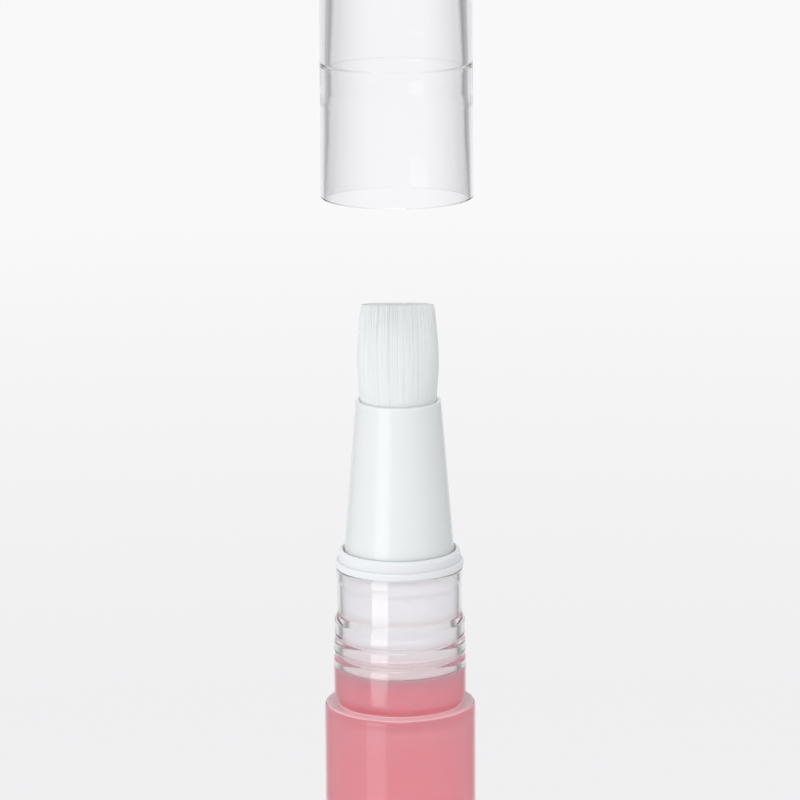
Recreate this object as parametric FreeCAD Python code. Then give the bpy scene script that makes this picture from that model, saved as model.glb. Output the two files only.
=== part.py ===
import FreeCAD, Part
import math
import os

# Twist-up nail oil pen, standing on its knob, with its cap held off above it.
# Millimetres. Z runs up the pen's axis from the flat end of the knob.

V = FreeCAD.Vector
ORIGIN = V(0, 0, 0)
UP = V(0, 0, 1)
cut_past = 1.0                 # how far a cutter runs past the face that it opens
round_share = 0.45             # most of a short edge that one corner's round may take
same_point = 1e-6

# ---------------------------------------------------------------- barrel
barrel_radius = 6.0
barrel_length = 75.25          # tail to shoulder
bore_radius = 4.6
shoulder_round = 0.35
tail_round = 0.12

# ---------------------------------------------------------------- neck, up from the shoulder
neck_radius = 4.92
neck_length = 11.08
root_height = 0.85             # cone from the neck's foot out to the band
band_radius = 5.24
band_height = 2.9
low_gap = 0.44
low_bead_radius = 5.22
low_bead_height = 1.0
high_gap = 0.4
high_bead_radius = 5.16
high_bead_height = 1.2
high_bead_slope = 0.6          # cone above the bead, back to the neck
bead_round = 0.3
lip_radius = 5.02
lip_height = 0.8
lip_slope_height = 0.3

# ---------------------------------------------------------------- collar and its plug
flange_radius = 5.08
flange_height = 0.57
ring_radius = 4.82
ring_height = 0.9
ring_chamfer = 0.2
plug_depth = 8.18              # neck mouth to the plug's lower edge
plug_wall_play = 0.1           # plug wall to neck bore
rib_play = 0.01                # seal ribs to neck bore
rib_height = 0.22
rib_pitch = 0.5
rib_count = 3
cup_depth = 1.9                # hollow under the plug's floor
cup_radius = 3.9
floor_height = 1.0

# ---------------------------------------------------------------- nozzle
nozzle_length = 12.0           # top of the collar to the mouth
nozzle_base_radius = 4.32
nozzle_mouth_radius = 3.36
nozzle_seat_depth = 0.5        # the nozzle's ledge sits this far inside the collar
nozzle_skirt_radius = 3.9
nozzle_skirt_gap = 0.3         # end of the skirt to the plug's floor
mouth_bore_radius = 2.99
mouth_round = 0.17

# ---------------------------------------------------------------- brush
bristle_reach = 7.6            # out of the mouth
bristle_root_radius = 2.93
bristle_depth = 14.5           # root to the mouth
brush_swell_height = 1.2       # the bundle widens and flattens from here up
brush_swell_width = 6.04
brush_swell_thick = 5.7
brush_belly_height = 3.3
brush_belly_width = 6.26
brush_belly_thick = 4.7
brush_upper_height = 5.6
brush_upper_width = 6.0
brush_upper_thick = 2.8
brush_tip_width = 5.6
brush_tip_thick = 1.1
brush_points = 24              # points round each section of the bundle
brush_ledge = 0.03
bush_radius = 3.37
bush_depth = 11.4              # mouth to the top of the bush
bush_floor = 0.8
feed_tube_radius = 0.75
feed_tube_bore = 0.45
feed_tube_depth = 4.0          # mouth to the tube's upper end
feed_tube_drop = 1.0           # floor of the plug to the tube's lower end

# ---------------------------------------------------------------- cap, up from its rim
cap_radius = 5.95
cap_draft = 0.2                # degrees, outside
cap_length = 38.0
cap_end_wall = 1.6
cap_end_round = 0.7
cap_rim_round = 0.12
cap_rim_bore = 5.54
cap_closed_gap = 0.05          # rim to shoulder with the cap on
cap_lift = 40.65               # how far the cap is held above its closed place
cap_slip = 0.035               # what passes in the cap clears its bore by this
snap_groove_depth = 0.05
snap_groove_margin = 0.12      # a groove is longer than its bead at each end
cap_band_height = 8.0
cap_band_length = 1.55
cap_ring_height = 10.1
cap_ring_length = 0.7
cap_ring_depth = 0.05
cap_mid_height = 15.7
cap_mid_bore = 4.93
cap_top_bore = 4.78

# ---------------------------------------------------------------- tail insert
tail_flange_radius = 5.9
tail_flange_height = 0.6
insert_bore_radius = 4.0
press_line = 0.02              # pressed pieces are drawn this far from their seats

# ---------------------------------------------------------------- knob
knob_radius = 5.95
knob_length = 24.0
knob_bore_radius = 5.0
knob_foot_round = 0.45
knob_top_round = 0.2
knob_gap = 0.15                # knob to the insert's flange
end_plug_height = 1.5
end_plug_wall = 0.8
end_plug_rim = 1.5
core_floor = 2.0
core_drop = 0.3                # shoulder of the core below the knob's top edge
spigot_height = 8.3
spigot_play = 0.08
rod_hole_play = 0.4
core_web = 1.4                 # walls of the hub between its pockets and its ends
core_hub_wall = 1.1
core_pockets = 4
core_rib_angle = 24.0

# ---------------------------------------------------------------- snap ring
snap_ring_height = 0.6
snap_ring_level = 4.0          # above the insert's lower face
snap_groove_play = 0.05
snap_insert_depth = 0.27
snap_core_depth = 0.47
snap_split_angle = 40.0

# ---------------------------------------------------------------- push screw and its nut
thread_lead = 3.0
thread_starts = 2
rod_radius = 1.9
rod_root_radius = 1.5
rod_flats = 2.6
tooth_root_width = 0.62
tooth_crest_width = 0.32
thread_side_play = 0.15
thread_tip_play = 0.1
rod_foot_gap = 0.7             # rod to the end plug, pen full
rod_top_gap = 0.2              # thread to the piston
thread_end_land = 0.1
tooth_half_turn = 65.0         # degrees each side of the middle of a tooth
rod_neck_radius = 1.0
rod_neck_height = 1.5
rod_head_radius = 1.5
rod_head_height = 1.0
rod_head_tip_radius = 0.7
rod_head_tip_height = 0.6
rod_engagement = 3.3           # rod still inside the slot, pen empty
nut_length = 4.0
nut_key_width = 1.5
nut_key_height = 1.0
nut_key_play = 0.05
nut_lead_in = 0.3

# ---------------------------------------------------------------- drive tube and ratchet
drive_radius = 2.75
drive_bore_radius = 2.15
drive_flats = 5.0
drive_key_length = 15.0
drive_key_play = 0.03
slot_length = 4.0
slot_play = 0.08
drive_collar_length = 1.8
drive_collar_play = 0.08
drive_top_gap = 0.3            # drive tube to the nut
ratchet_level = 8.85           # above the insert's lower face
ratchet_length = 4.0
ratchet_teeth = 24
ratchet_root_radius = 3.7
ratchet_crest_radius = 3.4
pawl_count = 3
pawl_inner_radius = 3.0
pawl_outer_radius = 3.27
pawl_tip_play = 0.04
pawl_angle = 78.0
pawl_foot_angle = 16.0
pawl_tip_angle = 9.0
pawl_end_gap = 0.2

# ---------------------------------------------------------------- piston
piston_length = 5.0
piston_play = 0.03
piston_gap = 1.2               # nut to the piston, pen full
piston_waist_radius = 4.2
piston_lip_length = 1.4
piston_lip_land = 0.3
piston_top_wall = 1.3
core_radius = 3.22
core_play = 0.03
socket_play = 0.12
end_gap = 0.3                  # piston to the plug, pen empty
oil_gap = 0.02                 # oil to the walls round it

# ---------------------------------------------------------------- levels that follow from the sizes
flange_low = knob_length + knob_gap
barrel_low = flange_low + tail_flange_height
shoulder = barrel_low + barrel_length
neck_top = shoulder + neck_length
ring_low = neck_top + flange_height
collar_top = ring_low + ring_height
mouth = collar_top + nozzle_length
nozzle_seat = collar_top - nozzle_seat_depth
bush_top = mouth - bush_depth
bristle_low = mouth - bristle_depth
bristle_top = mouth + bristle_reach
plug_low = neck_top - plug_depth
floor_low = plug_low + cup_depth
floor_top = floor_low + floor_height
cap_rim = shoulder + cap_closed_gap + cap_lift

rod_low = end_plug_height + rod_foot_gap
fixed_stack = rod_engagement + drive_top_gap + nut_length + piston_gap + piston_length
stroke = (plug_low - end_gap - rod_low - fixed_stack) / 2
drive_top = rod_low + stroke + rod_engagement
nut_low = drive_top + drive_top_gap
nut_top = nut_low + nut_length
piston_low = nut_top + piston_gap
piston_top = piston_low + piston_length
core_low = end_plug_height + end_plug_rim
drive_low = core_low + core_floor

thread_pitch = thread_lead / thread_starts
tooth_rise = thread_lead * tooth_half_turn / 360
tooth_reach = tooth_rise + tooth_root_width / 2
first_tooth = rod_low + tooth_reach + thread_end_land
rod_thread_top = piston_low - rod_top_gap
rod_head_low = rod_thread_top + rod_neck_height
rod_head_top = rod_head_low + rod_head_height
bead_low = root_height + band_height + low_gap
bead_high = bead_low + low_bead_height + high_gap


# ---------------------------------------------------------------- making shapes
def rounded_wire(corners):
    """Closed wire through (radius, height) corners; a third figure in a corner rounds it."""
    points = [V(c[0], 0, c[1]) for c in corners]
    ends = []
    for i, corner in enumerate(corners):
        here = points[i]
        back = points[i - 1] - here
        ahead = points[(i + 1) % len(points)] - here
        if len(corner) < 3:
            ends.append((here, None, here))
            continue
        room = round_share * min(back.Length, ahead.Length)
        back.normalize()
        ahead.normalize()
        half = back.getAngle(ahead) / 2
        setback = min(corner[2] / math.tan(half), room)
        radius = setback * math.tan(half)
        inward = back + ahead
        inward.normalize()
        middle = here + inward * (radius / math.sin(half) - radius)
        ends.append((here + back * setback, middle, here + ahead * setback))
    edges = []
    for i, (start, middle, end) in enumerate(ends):
        if middle is not None:
            edges.append(Part.Arc(start, middle, end).toShape())
        following = ends[(i + 1) % len(ends)][0]
        if end.distanceToPoint(following) > same_point:
            edges.append(Part.LineSegment(end, following).toShape())
    return Part.Wire(edges)


def turned(*corners):
    """Solid turned about the pen's axis from (radius, height) corners."""
    return Part.Face(rounded_wire(corners)).revolve(ORIGIN, UP, 360)


def disc(radius, low, high):
    """Round bar on the axis from one level to another."""
    return Part.makeCylinder(radius, high - low, V(0, 0, low))


def slab(width, reach, low, high):
    """Bar across the axis, as wide as given along Y and reaching out both ways along X."""
    return Part.makeBox(2 * reach, width, high - low, V(-reach, -width / 2, low))


def sector(inner, outer, start, sweep, low, high):
    """Piece of a ring between two angles, in degrees."""
    ring = Part.makeCylinder(outer, high - low, V(0, 0, low), UP, sweep)
    ring = ring.cut(disc(inner, low - cut_past, high + cut_past))
    ring.rotate(ORIGIN, UP, start)
    return ring


def helical_ridge(inner, outer, inner_width, outer_width, start, turns):
    """Ridge of trapezoid section that climbs one thread lead a turn, first crossing level 0 at start."""
    spine = Part.makeHelix(thread_lead, thread_lead * turns, outer)
    section = Part.makePolygon([
        V(inner, 0, -inner_width / 2),
        V(outer, 0, -outer_width / 2),
        V(outer, 0, outer_width / 2),
        V(inner, 0, inner_width / 2),
        V(inner, 0, -inner_width / 2),
    ])
    ridge = Part.Wire(spine.Edges).makePipeShell([section], True, True)
    ridge.rotate(ORIGIN, UP, start)
    return ridge


# ---------------------------------------------------------------- the pen's body
def make_barrel():
    """Clear barrel: one wall from the tail to the beaded neck, with one bore through it."""
    band_top = shoulder + root_height + band_height
    low_bead = shoulder + bead_low
    high_bead = shoulder + bead_high
    lip_low = neck_top - lip_height
    return turned(
        (bore_radius, barrel_low),
        (barrel_radius, barrel_low, tail_round),
        (barrel_radius, shoulder, shoulder_round),
        (neck_radius, shoulder),
        (band_radius, shoulder + root_height, bead_round),
        (band_radius, band_top, bead_round),
        (neck_radius, band_top + low_gap / 2, bead_round),
        (low_bead_radius, low_bead, bead_round),
        (low_bead_radius, low_bead + low_bead_height, bead_round),
        (neck_radius, high_bead - high_gap / 2, bead_round),
        (high_bead_radius, high_bead, bead_round),
        (high_bead_radius, high_bead + high_bead_height, bead_round),
        (neck_radius, high_bead + high_bead_height + high_bead_slope, bead_round),
        (neck_radius, lip_low - lip_slope_height),
        (lip_radius, lip_low),
        (lip_radius, neck_top, tail_round),
        (bore_radius, neck_top),
    )


def make_neck_plug():
    """Collar with a flange and a ring above the neck, and a hollow plug down inside it."""
    wall = bore_radius - plug_wall_play
    seat_bore = nozzle_skirt_radius + press_line
    rim_inner = nozzle_base_radius + ring_chamfer
    plug = turned(
        (cup_radius, plug_low, tail_round),
        (wall, plug_low, tail_round),
        (wall, neck_top),
        (flange_radius, neck_top, tail_round),
        (flange_radius, ring_low, tail_round),
        (ring_radius, ring_low),
        (ring_radius, collar_top - ring_chamfer),
        (ring_radius - ring_chamfer, collar_top),
        (rim_inner, collar_top),
        (nozzle_base_radius + press_line, nozzle_seat),
        (seat_bore, nozzle_seat),
        (seat_bore, floor_top),
        (feed_tube_radius + press_line, floor_top),
        (feed_tube_radius + press_line, floor_low),
        (cup_radius, floor_low),
    )
    for i in range(rib_count):
        level = plug_low + rib_pitch * (i + 1)
        rib = turned(
            (wall - plug_wall_play, level - rib_height / 2),
            (wall, level - rib_height / 2),
            (bore_radius - rib_play, level),
            (wall, level + rib_height / 2),
            (wall - plug_wall_play, level + rib_height / 2),
        )
        plug = plug.fuse(rib)
    return plug.removeSplitter()


def make_brush_nozzle():
    """Tapered nozzle: its skirt stands in the plug and holds the brush from inside."""
    skirt_low = floor_top + nozzle_skirt_gap
    pocket = bush_radius + press_line
    return turned(
        (pocket, skirt_low),
        (nozzle_skirt_radius, skirt_low, tail_round),
        (nozzle_skirt_radius, nozzle_seat + press_line),
        (nozzle_base_radius, nozzle_seat + press_line),
        (nozzle_base_radius, collar_top),
        (nozzle_mouth_radius, mouth, mouth_round),
        (mouth_bore_radius, mouth, mouth_round),
        (mouth_bore_radius, bush_top + press_line),
        (pocket, bush_top + press_line),
    )


def make_brush_bush():
    """Cup that the roots of the bundle are fixed in, seated under the nozzle's inner shoulder."""
    low = bristle_low - bush_floor
    hole = feed_tube_radius + press_line
    return turned(
        (hole, low),
        (bush_radius, low, tail_round),
        (bush_radius, bush_top),
        (bristle_root_radius + press_line, bush_top),
        (bristle_root_radius + press_line, bristle_low - press_line),
        (hole, bristle_low - press_line),
    )


def bundle_section(width, thick, level):
    """Closed oval as wide as given along X and as thick as given along Y."""
    points = []
    for i in range(brush_points):
        turn = 2 * math.pi * i / brush_points
        points.append(V(width / 2 * math.cos(turn), thick / 2 * math.sin(turn), level))
    oval = Part.BSplineCurve()
    oval.interpolate(points, PeriodicFlag=True)
    return Part.Wire(oval.toShape())


def make_bristles():
    """Outer form of the bundle: round at the root, then wider and thinner up to the flat cut."""
    foot = mouth - brush_ledge
    root = disc(bristle_root_radius, bristle_low, foot)
    foot_width = 2 * (bristle_root_radius - brush_ledge)
    tuft = Part.makeLoft([
        bundle_section(foot_width, foot_width, foot),
        bundle_section(brush_swell_width, brush_swell_thick, mouth + brush_swell_height),
        bundle_section(brush_belly_width, brush_belly_thick, mouth + brush_belly_height),
        bundle_section(brush_upper_width, brush_upper_thick, mouth + brush_upper_height),
        bundle_section(brush_tip_width, brush_tip_thick, bristle_top),
    ], True, False)
    hole_top = mouth - feed_tube_depth + press_line
    hole = disc(feed_tube_radius + press_line, bristle_low - cut_past, hole_top)
    return root.fuse(tuft).cut(hole)


def make_tube_holder():
    """Plug between the collar's floor and the bush, which grips the feed tube on the axis."""
    low = floor_top + press_line
    high = bristle_low - bush_floor - press_line
    hole = feed_tube_radius + press_line
    return turned(
        (hole, low),
        (bush_radius, low, tail_round),
        (bush_radius, high, tail_round),
        (hole, high),
    )


def make_feed_tube():
    """Thin tube from the hollow of the plug to the middle of the bundle."""
    low = floor_low - feed_tube_drop
    high = mouth - feed_tube_depth
    return turned(
        (feed_tube_bore, low),
        (feed_tube_radius, low),
        (feed_tube_radius, high),
        (feed_tube_bore, high),
    )


def make_oil():
    """Oil in the tank and in the hollow of the plug."""
    tank = disc(bore_radius - oil_gap, piston_top + oil_gap, plug_low - oil_gap)
    hollow = disc(cup_radius - oil_gap, plug_low - 2 * oil_gap, floor_low - oil_gap)
    oil = tank.fuse(hollow).removeSplitter()
    return oil.cut(disc(feed_tube_radius + oil_gap, floor_low - feed_tube_drop - oil_gap, floor_low))


# ---------------------------------------------------------------- the cap
def make_cap():
    """Clear cap, mouth down: snap grooves for the neck's beads, a band and a ring inside."""
    slope = math.tan(math.radians(cap_draft))
    top = cap_rim + cap_length

    def level(neck_height):
        return cap_rim + neck_height - cap_closed_gap

    band_land = band_radius + cap_slip
    low_groove = low_bead_radius + cap_slip + snap_groove_depth
    high_land = high_bead_radius + cap_slip
    high_groove = high_land + snap_groove_depth
    flange_land = flange_radius + cap_slip
    low_start = level(bead_low) - snap_groove_margin
    low_end = level(bead_low + low_bead_height) + snap_groove_margin
    high_start = level(bead_high) - snap_groove_margin
    high_end = level(bead_high + high_bead_height + high_bead_slope) + snap_groove_margin
    blend = snap_groove_depth
    band_low = cap_rim + cap_band_height
    band_top = band_low + cap_band_length
    ring_start = cap_rim + cap_ring_height
    ring_end = ring_start + cap_ring_length
    return turned(
        (cap_rim_bore, cap_rim, cap_rim_round),
        (cap_radius, cap_rim, cap_rim_round),
        (cap_radius - slope * cap_length, top, cap_end_round),
        (0, top),
        (0, top - cap_end_wall),
        (cap_top_bore, top - cap_end_wall, cap_end_round),
        (cap_mid_bore, cap_rim + cap_mid_height),
        (flange_land + cap_ring_depth, ring_end + cap_ring_depth),
        (flange_land, ring_end),
        (flange_land, ring_start),
        (flange_land + cap_ring_depth, ring_start - cap_ring_depth),
        (flange_land + cap_ring_depth, band_top + cap_ring_depth),
        (flange_land, band_top),
        (flange_land, band_low),
        (high_land, high_end + blend),
        (high_groove, high_end),
        (high_groove, high_start),
        (high_land, high_start - blend),
        (high_land, low_end + blend),
        (low_groove, low_end),
        (low_groove, low_start),
        (band_land, low_start - blend),
    )


# ---------------------------------------------------------------- fixed pieces in the tail
def make_tail_insert():
    """Sleeve pressed into the tail; the flange shows between the barrel and the knob."""
    outer = bore_radius - press_line
    groove_low = flange_low + snap_ring_level - snap_groove_play
    groove_top = flange_low + snap_ring_level + snap_ring_height + snap_groove_play
    groove = insert_bore_radius + snap_insert_depth
    sleeve = turned(
        (insert_bore_radius, flange_low, tail_round),
        (tail_flange_radius, flange_low, tail_round),
        (tail_flange_radius, barrel_low - press_line, tail_round),
        (outer, barrel_low - press_line),
        (outer, nut_low - press_line, tail_round),
        (insert_bore_radius, nut_low - press_line),
        (insert_bore_radius, groove_top),
        (groove, groove_top),
        (groove, groove_low),
        (insert_bore_radius, groove_low),
    )
    notch = slab(
        nut_key_width + 2 * nut_key_play,
        2 * bore_radius,
        nut_low - nut_key_height - nut_key_play,
        nut_low + cut_past,
    )
    return sleeve.cut(notch)


def make_thread_nut():
    """Fixed nut: a round bore with helical ridges that run in the rod's grooves."""
    outer = bore_radius - press_line
    bore = rod_radius + thread_tip_play
    tip = rod_root_radius + thread_tip_play
    groove_at_bore = thread_pitch - tooth_crest_width
    groove_at_tip = thread_pitch - tooth_root_width
    body = turned(
        (bore + nut_lead_in, nut_low),
        (outer, nut_low),
        (outer, nut_top, tail_round),
        (bore + nut_lead_in, nut_top),
        (bore, nut_top - nut_lead_in),
        (bore, nut_low + nut_lead_in),
    )
    key_low = nut_low - nut_key_height
    key_top = nut_low + nut_lead_in
    keys = slab(nut_key_width, outer, key_low, key_top)
    keys = keys.common(disc(outer, key_low, key_top))
    keys = keys.cut(disc(insert_bore_radius + press_line, key_low - cut_past, key_top + cut_past))
    turns = math.ceil((nut_length + 2 * thread_pitch) / thread_lead) + 1
    ridges = []
    for i in range(thread_starts):
        ridge = helical_ridge(
            tip,
            bore + nut_lead_in / 2,
            groove_at_tip - 2 * thread_side_play,
            groove_at_bore - 2 * thread_side_play,
            0,
            turns,
        )
        cycles = math.floor((nut_low - first_tooth) / thread_lead) - 1
        foot = first_tooth + thread_pitch / 2 + cycles * thread_lead + i * thread_pitch
        ridge.translate(V(0, 0, foot))
        kept = disc(bore + nut_lead_in, nut_low + nut_lead_in, nut_top - nut_lead_in)
        ridges.append(ridge.common(kept))
    return body.fuse([keys] + ridges)


def make_ratchet_ring():
    """Ring of saw teeth that lets the pawls slip one way."""
    low = flange_low + ratchet_level
    step = 2 * math.pi / ratchet_teeth
    corners = []
    for i in range(ratchet_teeth):
        turn = i * step
        for radius in (ratchet_crest_radius, ratchet_root_radius):
            corners.append(V(radius * math.cos(turn), radius * math.sin(turn), low))
    corners.append(corners[0])
    teeth = Part.Face(Part.makePolygon(corners)).extrude(UP * ratchet_length)
    return disc(insert_bore_radius - press_line, low, low + ratchet_length).cut(teeth)


def make_snap_ring():
    """Split ring held in the insert's groove, with the knob's core turning inside it."""
    low = flange_low + snap_ring_level
    high = low + snap_ring_height
    outer = insert_bore_radius + snap_insert_depth - snap_groove_play
    inner = insert_bore_radius - spigot_play - snap_core_depth + snap_groove_play
    sweep = 360 - snap_split_angle
    return sector(inner, outer, snap_split_angle / 2, sweep, low, high)


# ---------------------------------------------------------------- the knob and the drive
def make_knob_shell():
    """Plain outer sleeve of the knob."""
    return turned(
        (knob_bore_radius, 0),
        (knob_radius, 0, knob_foot_round),
        (knob_radius, knob_length, knob_top_round),
        (knob_bore_radius, knob_length),
    )


def make_end_plug():
    """Disc and rim that close the knob; it is flush with the knob's end."""
    outer = knob_bore_radius - press_line
    rim_top = core_low - press_line
    return turned(
        (0, 0),
        (outer, 0, tail_round),
        (outer, rim_top),
        (outer - end_plug_wall, rim_top),
        (outer - end_plug_wall, end_plug_height),
        (0, end_plug_height),
    )


def make_knob_core():
    """Hub in the knob: it carries the drive tube, and its spigot turns in the insert."""
    outer = knob_bore_radius - press_line
    core_top = knob_length - core_drop
    spigot = insert_bore_radius - spigot_play
    spigot_top = core_top + spigot_height
    groove_low = flange_low + snap_ring_level - snap_groove_play
    groove_top = flange_low + snap_ring_level + snap_ring_height + snap_groove_play
    bore = drive_radius + drive_key_play
    hub = turned(
        (rod_radius + rod_hole_play, core_low),
        (outer, core_low, tail_round),
        (outer, core_top),
        (spigot, core_top),
        (spigot, groove_low),
        (spigot - snap_core_depth, groove_low),
        (spigot - snap_core_depth, groove_top),
        (spigot, groove_top),
        (spigot, spigot_top, tail_round),
        (rod_radius + rod_hole_play, spigot_top),
    )
    keyed = disc(bore, drive_low - press_line, drive_low + drive_key_length)
    keyed = keyed.common(
        slab(drive_flats + 2 * drive_key_play, 2 * bore, drive_low - cut_past, spigot_top)
    )
    open_bore = disc(bore, drive_low + drive_key_length - press_line, spigot_top + cut_past)
    pocket_inner = bore + core_hub_wall
    pocket_sweep = 360.0 / core_pockets - core_rib_angle
    pockets = []
    for i in range(core_pockets):
        start = 360.0 / core_pockets * i + core_rib_angle / 2
        pocket = sector(
            pocket_inner, outer + cut_past, start, pocket_sweep,
            core_low + core_web, core_top - core_web,
        )
        pockets.append(pocket)
    return hub.cut([keyed, open_bore] + pockets)


def make_drive_tube():
    """Tube keyed into the knob, with pawls part way up and a slot for the rod's flats on top."""
    collar_radius = insert_bore_radius - drive_collar_play
    slot_low = drive_top - slot_length
    tube = turned(
        (drive_bore_radius, drive_low),
        (drive_radius, drive_low),
        (drive_radius, drive_top - drive_collar_length),
        (collar_radius, drive_top - drive_collar_length, tail_round),
        (collar_radius, drive_top, tail_round),
        (rod_radius + slot_play, drive_top),
        (rod_radius + slot_play, slot_low),
        (drive_bore_radius, slot_low),
    )
    slot_side = (rod_flats + 2 * slot_play) / 2
    cheeks = []
    for start in (slot_side, -slot_side - drive_radius):
        cheek = Part.makeBox(2 * drive_radius, drive_radius, slot_length, V(-drive_radius, start, slot_low))
        cheeks.append(cheek.common(disc(drive_bore_radius + press_line, slot_low, drive_top)))
    flat = drive_flats / 2
    key_cuts = []
    for start in (flat, -flat - drive_radius):
        key_cuts.append(
            Part.makeBox(
                2 * drive_radius,
                drive_radius,
                drive_key_length + cut_past,
                V(-drive_radius, start, drive_low - cut_past),
            )
        )
    pawl_low = flange_low + ratchet_level + pawl_end_gap
    pawl_high = pawl_low + ratchet_length - 2 * pawl_end_gap
    pawls = []
    for i in range(pawl_count):
        lead_end = 360.0 / pawl_count * i
        pawls.append(
            sector(
                pawl_inner_radius, pawl_outer_radius,
                lead_end - pawl_angle, pawl_angle, pawl_low, pawl_high,
            )
        )
        pawls.append(
            sector(
                drive_bore_radius + press_line, pawl_outer_radius,
                lead_end - pawl_foot_angle, pawl_foot_angle, pawl_low, pawl_high,
            )
        )
        pawls.append(
            sector(
                pawl_inner_radius, ratchet_crest_radius - pawl_tip_play,
                lead_end - pawl_angle, pawl_tip_angle, pawl_low, pawl_high,
            )
        )
    return tube.cut(key_cuts).fuse(cheeks + pawls).removeSplitter()


# ---------------------------------------------------------------- push screw
def make_screw_rod():
    """Push screw: two starts of thread left on two sides, flats on the others, a head on top."""
    core = disc(rod_root_radius, rod_low, rod_thread_top)
    tooth = helical_ridge(
        rod_root_radius - thread_tip_play,
        rod_radius,
        tooth_root_width,
        tooth_crest_width,
        -tooth_half_turn,
        2 * tooth_half_turn / 360,
    )
    tooth.translate(V(0, 0, -tooth_rise))
    count = int((rod_thread_top - tooth_reach - first_tooth) / thread_pitch) + 1
    teeth = []
    for i in range(count):
        for turn in (0, 180):
            one = tooth.copy()
            one.rotate(ORIGIN, UP, turn)
            one.translate(V(0, 0, first_tooth + i * thread_pitch))
            teeth.append(one)
    screw = core.fuse(teeth)
    screw = screw.common(slab(rod_flats, 2 * rod_radius, rod_low, rod_thread_top))
    head = turned(
        (0, rod_thread_top - rod_neck_height),
        (rod_neck_radius, rod_thread_top - rod_neck_height),
        (rod_neck_radius, rod_head_low),
        (rod_head_radius, rod_head_low),
        (rod_head_radius, rod_head_top),
        (rod_head_tip_radius, rod_head_top + rod_head_tip_height),
        (0, rod_head_top + rod_head_tip_height),
    )
    return screw.fuse(head)


# ---------------------------------------------------------------- piston
def make_piston_core():
    """Hard middle of the piston, with the socket that the rod's head turns in."""
    mouth_hole = rod_neck_radius + socket_play
    room = rod_head_radius + socket_play
    socket_top = rod_head_top + rod_head_tip_height + socket_play
    socket_low = rod_head_low - socket_play
    return turned(
        (mouth_hole, piston_low),
        (core_radius, piston_low, tail_round),
        (core_radius, piston_top - piston_top_wall - core_play, tail_round),
        (0, piston_top - piston_top_wall - core_play),
        (0, socket_top),
        (room, socket_top),
        (room, socket_low),
        (mouth_hole, socket_low),
    )


def make_piston_seal():
    """Soft cup over the core, with a wiping lip at each end."""
    lip = bore_radius - piston_play
    inner = core_radius + core_play
    return turned(
        (inner, piston_low),
        (lip, piston_low, tail_round),
        (lip, piston_low + piston_lip_land),
        (piston_waist_radius, piston_low + piston_lip_length),
        (piston_waist_radius, piston_top - piston_lip_length),
        (lip, piston_top - piston_lip_land),
        (lip, piston_top, tail_round),
        (0, piston_top),
        (0, piston_top - piston_top_wall),
        (inner, piston_top - piston_top_wall),
    )


pieces = {
    "cap": make_cap,
    "bristles": make_bristles,
    "brush_nozzle": make_brush_nozzle,
    "brush_bush": make_brush_bush,
    "tube_holder": make_tube_holder,
    "feed_tube": make_feed_tube,
    "neck_plug": make_neck_plug,
    "barrel": make_barrel,
    "oil": make_oil,
    "piston_seal": make_piston_seal,
    "piston_core": make_piston_core,
    "screw_rod": make_screw_rod,
    "thread_nut": make_thread_nut,
    "tail_insert": make_tail_insert,
    "ratchet_ring": make_ratchet_ring,
    "snap_ring": make_snap_ring,
    "drive_tube": make_drive_tube,
    "knob_core": make_knob_core,
    "knob_shell": make_knob_shell,
    "end_plug": make_end_plug,
}

os.makedirs("parts", exist_ok=True)
for name, make in pieces.items():
    shape = make()
    shape.exportStep("parts/" + name + ".step")
    box = shape.optimalBoundingBox(False)
    print(
        "%-14s solids %d valid %s volume %8.2f z %7.2f %7.2f r %5.2f"
        % (name, len(shape.Solids), shape.isValid(), shape.Volume, box.ZMin, box.ZMax, box.XMax)
    )
print("stroke %.3f drive_top %.3f nut_low %.3f piston_low %.3f" % (stroke, drive_top, nut_low, piston_low))
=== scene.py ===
"""Twist-up nail oil pen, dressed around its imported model.

Clear walls, oil, the brush's filaments and plastics, in a plain studio.
"""

import math

import bpy
from mathutils import Matrix, Vector


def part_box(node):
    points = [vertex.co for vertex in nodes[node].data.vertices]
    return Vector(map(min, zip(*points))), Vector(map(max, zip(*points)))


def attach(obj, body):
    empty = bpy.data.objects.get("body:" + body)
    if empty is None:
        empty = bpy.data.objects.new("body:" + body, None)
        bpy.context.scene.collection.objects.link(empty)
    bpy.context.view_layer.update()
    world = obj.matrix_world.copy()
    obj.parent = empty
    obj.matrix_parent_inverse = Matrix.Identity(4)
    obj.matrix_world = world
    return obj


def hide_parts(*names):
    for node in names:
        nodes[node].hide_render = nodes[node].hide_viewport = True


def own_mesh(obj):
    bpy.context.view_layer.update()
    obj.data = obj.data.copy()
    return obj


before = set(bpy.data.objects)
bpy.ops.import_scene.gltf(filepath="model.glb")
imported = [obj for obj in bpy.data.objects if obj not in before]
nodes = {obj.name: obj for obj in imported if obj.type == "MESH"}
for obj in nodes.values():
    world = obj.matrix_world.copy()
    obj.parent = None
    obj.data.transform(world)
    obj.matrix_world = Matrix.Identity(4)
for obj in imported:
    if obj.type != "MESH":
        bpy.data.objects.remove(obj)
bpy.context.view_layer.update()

MM = 0.001

# ---------------------------------------------------------------- levels and radii of the pen, in mm
SHOULDER = 100.0
NECK_TOP = 111.08
PLUG_LOW = 102.9                   # lower edge of the collar's plug
MOUTH = 124.55                     # end of the nozzle
CAP_RIM = 140.7
CAP_TOP = 178.7
BARREL_RADIUS = 6.0
NECK_RADIUS = 4.92
BORE_RADIUS = 4.6
CUP_RADIUS = 3.9                   # hollow under the plug
SEAM = 0.01                        # a hair between two pieces
WET_BORE = BORE_RADIUS + 2.5 * SEAM   # the oil wets the bore, so it reaches a hair into its wall

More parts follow.
